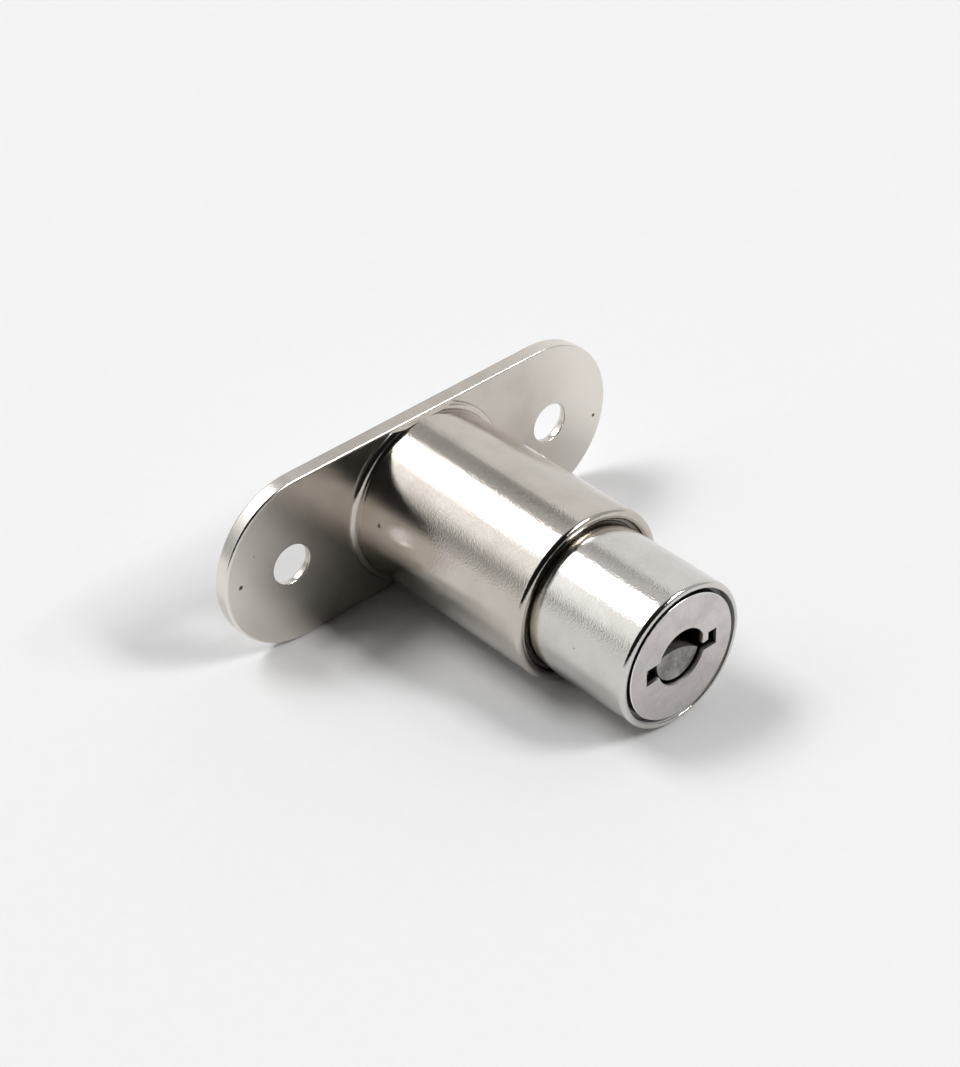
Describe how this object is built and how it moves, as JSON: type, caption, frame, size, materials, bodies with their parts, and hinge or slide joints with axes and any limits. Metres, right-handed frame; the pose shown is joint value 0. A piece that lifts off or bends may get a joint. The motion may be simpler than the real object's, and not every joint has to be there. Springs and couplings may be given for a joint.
{
  "type": "pushbutton lock",
  "caption": "Push-to-lock plunger lock for a sliding door: oval screw flange, round barrel, sprung plunger with a key core, bolt that comes out behind.",
  "frame": {"origin": "on the lock's axis, in the flange face that bears on the door, midway between the screw holes", "axes": "-Y along the barrel towards the key side, X along the oval flange, +Z across it"},
  "size_m": [0.052, 0.0389, 0.0196],
  "materials": {
    "housing_nickel": "bright nickel plate",
    "plunger_nickel": "bright nickel plate",
    "plug_satin": "satin nickel",
    "cap_nickel": "bright nickel plate",
    "bolt_nickel": "bright nickel plate",
    "steel_pin": "turned steel",
    "spring_steel": "drawn wire",
    "latch_brass": "stamped",
    "cam_zinc": "cast zinc",
    "post_steel": "cast, plated",
    "wafer_brass": "stamped"
  },
  "bodies": {
    "housing": {"housing": "housing_nickel", "rear_cap": "cap_nickel", "stop_pin": "steel_pin", "return_spring": "spring_steel"},
    "plunger": {"plunger": "plunger_nickel", "bolt": "bolt_nickel", "plug_retainer": "steel_pin", "latch_spring": "spring_steel"},
    "latch": {"latch": "latch_brass"},
    "plug": {"plug": "plug_satin", "keyway_post": "post_steel", "cam": "cam_zinc", "wafer_spring_1": "spring_steel", "wafer_spring_2": "spring_steel", "wafer_spring_3": "spring_steel", "wafer_spring_4": "spring_steel", "wafer_spring_5": "spring_steel"},
    "wafer_1": {"wafer_1": "wafer_brass"},
    "wafer_2": {"wafer_2": "wafer_brass"},
    "wafer_3": {"wafer_3": "wafer_brass"},
    "wafer_4": {"wafer_4": "wafer_brass"},
    "wafer_5": {"wafer_5": "wafer_brass"}
  },
  "joints": [
    {"name": "plunger_push", "type": "slide", "parent": "housing", "child": "plunger", "axis": [0, 1, 0], "range_m": [0, 0.009], "stiffness_N_per_m": 450, "springref_m": -0.006, "deforming": ["return_spring"]},
    {"name": "key_turn", "type": "hinge", "parent": "plunger", "child": "plug", "pos_m": [0, -0.03, 0], "axis": [0, 1, 0], "range_deg": [0, 90]},
    {"name": "latch_draw", "type": "slide", "parent": "plunger", "child": "latch", "axis": [0, 0, 1], "range_m": [0, 0.0013], "stiffness_N_per_m": 250, "springref_m": -0.002, "deforming": ["latch_spring"]},
    {"name": "wafer_1_shift", "type": "slide", "parent": "plug", "child": "wafer_1", "axis": [1, 0, 0], "range_m": [0, 0.00055], "deforming": ["wafer_spring_1"]},
    {"name": "wafer_2_shift", "type": "slide", "parent": "plug", "child": "wafer_2", "axis": [-1, 0, 0], "range_m": [0, 0.00055], "deforming": ["wafer_spring_2"]},
    {"name": "wafer_3_shift", "type": "slide", "parent": "plug", "child": "wafer_3", "axis": [1, 0, 0], "range_m": [0, 0.00055], "deforming": ["wafer_spring_3"]},
    {"name": "wafer_4_shift", "type": "slide", "parent": "plug", "child": "wafer_4", "axis": [-1, 0, 0], "range_m": [0, 0.00055], "deforming": ["wafer_spring_4"]},
    {"name": "wafer_5_shift", "type": "slide", "parent": "plug", "child": "wafer_5", "axis": [1, 0, 0], "range_m": [0, 0.00055], "deforming": ["wafer_spring_5"]}
  ],
  "couplings": [
    {"joint": "key_turn", "follows": "latch_draw", "rad_per_m": 1208.3}
  ]
}
